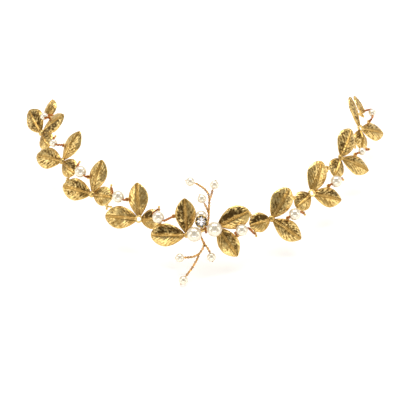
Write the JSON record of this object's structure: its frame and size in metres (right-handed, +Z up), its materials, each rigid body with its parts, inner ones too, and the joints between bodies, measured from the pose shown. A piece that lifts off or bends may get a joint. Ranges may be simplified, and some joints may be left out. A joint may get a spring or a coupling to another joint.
{
  "type": "bridal tiara",
  "caption": "Open curved tiara of hinged cast-gold leaf sprays wired together with pearls, with a pearl and crystal centre and two pearl sprigs on twisted wire.",
  "frame": {"origin": "front of the head curve, where the back of the centre lies on the head", "axes": "+Z up along the wearer's head, -Y to the wearer's front, +X to the wearer's left"},
  "size_m": [0.1791, 0.1072, 0.0352],
  "materials": {
    "antique_gold": "antiqued matte gold plate, dark in the recesses",
    "polished_gold": "satin gold plate",
    "gold_wire": "twisted gold-plated wire",
    "copper_wire": "coppered binding wire",
    "pearl": "nacre lustre over a solid bead",
    "crystal": "faceted foil-backed stone"
  },
  "bodies": {
    "centre": {"centre_casting_left": "antique_gold", "centre_casting_right": "antique_gold", "core_frame": "polished_gold", "centre_binding": "copper_wire", "large_pearl_left": "pearl", "large_pearl_right": "pearl", "back_pearl": "pearl", "crystal_setting": "polished_gold", "crystal": "crystal", "link_wire_left_1": "copper_wire", "link_wire_right_1": "copper_wire", "link_pearl_left_1": "pearl", "link_pearl_right_1": "pearl"},
    "upper_sprig": {"upper_sprig_wire": "gold_wire", "upper_sprig_pearl_1": "pearl", "upper_sprig_pearl_2": "pearl", "upper_sprig_pearl_3": "pearl"},
    "lower_sprig": {"lower_sprig_wire": "gold_wire", "lower_sprig_pearl_1": "pearl", "lower_sprig_pearl_2": "pearl", "lower_sprig_pearl_3": "pearl"},
    "link_left_1": {"leaf_link_left_1": "antique_gold", "link_wire_left_2": "copper_wire", "link_pearl_left_2": "pearl"},
    "link_left_2": {"leaf_link_left_2": "antique_gold", "link_wire_left_3": "copper_wire", "link_pearl_left_3": "pearl"},
    "link_left_3": {"leaf_link_left_3": "antique_gold", "link_wire_left_4": "copper_wire", "link_pearl_left_4": "pearl"},
    "link_left_4": {"leaf_link_left_4": "antique_gold", "link_wire_left_5": "copper_wire", "link_pearl_left_5": "pearl"},
    "end_left": {"end_leaf_left": "antique_gold"},
    "link_right_1": {"leaf_link_right_1": "antique_gold", "link_wire_right_2": "copper_wire", "link_pearl_right_2": "pearl"},
    "link_right_2": {"leaf_link_right_2": "antique_gold", "link_wire_right_3": "copper_wire", "link_pearl_right_3": "pearl"},
    "link_right_3": {"leaf_link_right_3": "antique_gold", "link_wire_right_4": "copper_wire", "link_pearl_right_4": "pearl"},
    "link_right_4": {"leaf_link_right_4": "antique_gold", "link_wire_right_5": "copper_wire", "link_pearl_right_5": "pearl"},
    "end_right": {"end_pearl_right": "pearl", "end_leaf_right": "antique_gold"}
  },
  "joints": [
    {"name": "link_left_1_flex", "type": "hinge", "parent": "centre", "child": "link_left_1", "pos_m": [-0.0199, 0.0045, 0.00114], "axis": [0.0146, 0.7712, 0.6364], "range_deg": [-20, 20]},
    {"name": "link_left_2_flex", "type": "hinge", "parent": "link_left_1", "child": "link_left_2", "pos_m": [-0.04352, 0.01797, 0.00174], "axis": [0.1923, 0.764, 0.6159], "range_deg": [-20, 20]},
    {"name": "link_left_3_flex", "type": "hinge", "parent": "link_left_2", "child": "link_left_3", "pos_m": [-0.06158, 0.03547, 0.00095], "axis": [0.5654, 0.4891, 0.6641], "range_deg": [-20, 20]},
    {"name": "link_left_4_flex", "type": "hinge", "parent": "link_left_3", "child": "link_left_4", "pos_m": [-0.07513, 0.05543, -0.00057], "axis": [0.6577, 0.3529, 0.6655], "range_deg": [-20, 20]},
    {"name": "end_left_flex", "type": "hinge", "parent": "link_left_4", "child": "end_left", "pos_m": [-0.07641, 0.07393, 0.00115], "axis": [0.7281, -0.4551, 0.5126], "range_deg": [-20, 20]},
    {"name": "link_right_1_flex", "type": "hinge", "parent": "centre", "child": "link_right_1", "pos_m": [0.02352, 0.00318, -0.00099], "axis": [0.2756, -0.6917, -0.6675], "range_deg": [-20, 20]},
    {"name": "link_right_2_flex", "type": "hinge", "parent": "link_right_1", "child": "link_right_2", "pos_m": [0.04505, 0.01533, -0.00093], "axis": [0.5758, -0.4734, -0.6666], "range_deg": [-20, 20]},
    {"name": "link_right_3_flex", "type": "hinge", "parent": "link_right_2", "child": "link_right_3", "pos_m": [0.06354, 0.03562, -0.00043], "axis": [0.7485, -0.1482, -0.6463], "range_deg": [-20, 20]},
    {"name": "link_right_4_flex", "type": "hinge", "parent": "link_right_3", "child": "link_right_4", "pos_m": [0.07812, 0.0565, -0.00272], "axis": [0.7762, 0.2201, -0.5908], "range_deg": [-20, 20]},
    {"name": "end_right_flex", "type": "hinge", "parent": "link_right_4", "child": "end_right", "pos_m": [0.08055, 0.07946, -0.00111], "axis": [0.3089, 0.7624, -0.5686], "range_deg": [-20, 20]},
    {"name": "upper_sprig_bend", "type": "hinge", "parent": "centre", "child": "upper_sprig", "pos_m": [-0.00016, 0.00044, -0.0022], "axis": [0.9559, 0.2177, 0.1971], "range_deg": [-10, 10]},
    {"name": "lower_sprig_bend", "type": "hinge", "parent": "centre", "child": "lower_sprig", "pos_m": [-0.00016, 0.00044, -0.0022], "axis": [0.9559, 0.2177, 0.1971], "range_deg": [-10, 10]}
  ]
}
